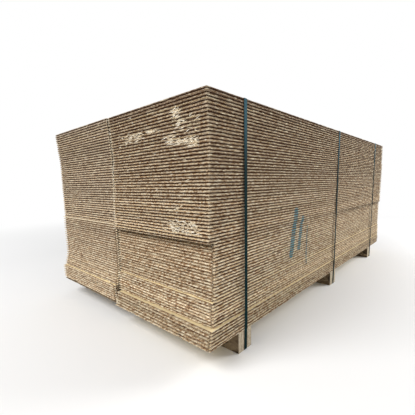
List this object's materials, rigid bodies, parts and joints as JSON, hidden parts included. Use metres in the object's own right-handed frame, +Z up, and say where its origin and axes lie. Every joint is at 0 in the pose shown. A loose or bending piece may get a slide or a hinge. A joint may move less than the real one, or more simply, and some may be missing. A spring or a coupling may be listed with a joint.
{
  "type": "stack of osb panels",
  "caption": "Strapped pack of tongue-and-groove strand board panels in two piles side by side, lying on wooden bearers with fork gaps between them.",
  "frame": {"origin": "on the floor, under the middle of the pack's outline", "axes": "+X along the panels' length, away from the near end; +Y across the panels, from the right pile to the left pile as seen facing the near end; +Z up"},
  "size_m": [2.555, 1.2894, 1.0159],
  "materials": {
    "panel": "pressed wood strands, weathered edges",
    "bearer": "pressed wood strands, sawn",
    "strap": "dark green polyester strap, slight sheen"
  },
  "bodies": {
    "root": {"right_pile_bottom": "panel", "right_pile_lower": "panel", "right_pile_middle": "panel", "right_pile_upper": "panel", "right_pile_top": "panel", "left_pile_foot": "panel", "left_pile_bottom": "panel", "left_pile_lower": "panel", "left_pile_middle": "panel", "left_pile_upper": "panel", "left_pile_top": "panel", "bearer_near": "bearer", "bearer_middle": "bearer", "bearer_far": "bearer", "strap_near": "strap", "strap_middle": "strap", "strap_far": "strap"}
  },
  "joints": []
}
